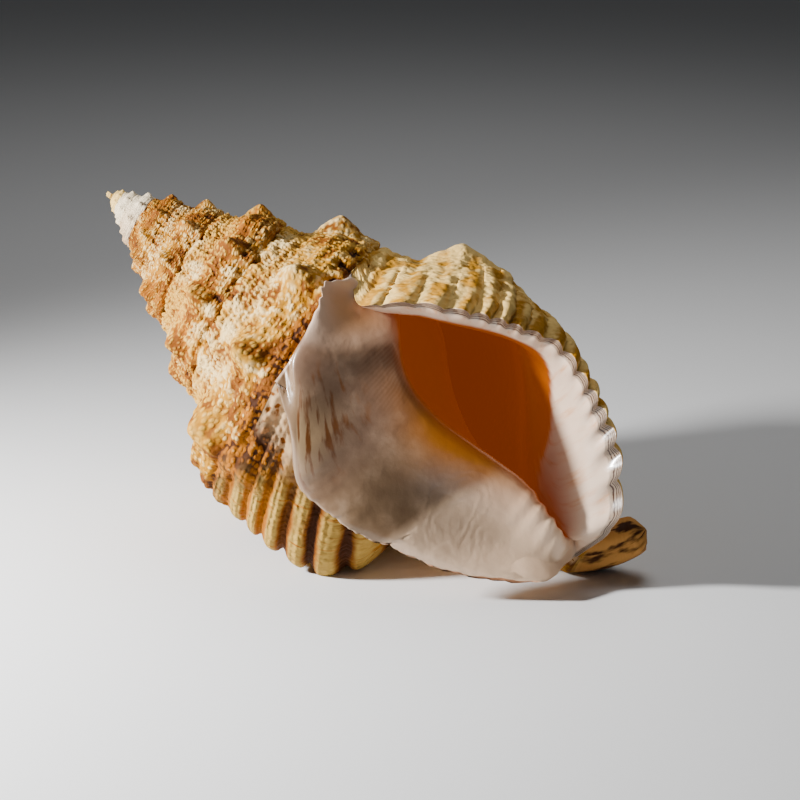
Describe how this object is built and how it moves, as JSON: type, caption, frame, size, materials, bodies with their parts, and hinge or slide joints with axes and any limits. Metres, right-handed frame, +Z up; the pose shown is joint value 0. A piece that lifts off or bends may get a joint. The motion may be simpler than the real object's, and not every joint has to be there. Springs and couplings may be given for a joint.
{
  "type": "frog shell",
  "caption": "Large spiral sea snail shell with a knobbed spire, a frilled varix, a wide glazed shield beside its open mouth and a short curled canal.",
  "frame": {"origin": "centre of the box at the ground the shell lies on", "axes": "+Z up, +X from the spire to the canal's side as the picture shows it, -Y towards the viewer who looks into the mouth"},
  "size_m": [0.1834, 0.114, 0.1105],
  "materials": {
    "shell": "matte beaded outside, glazed porcelain-like shield and mouth"
  },
  "bodies": {
    "root": {"shell": "shell"}
  },
  "joints": []
}
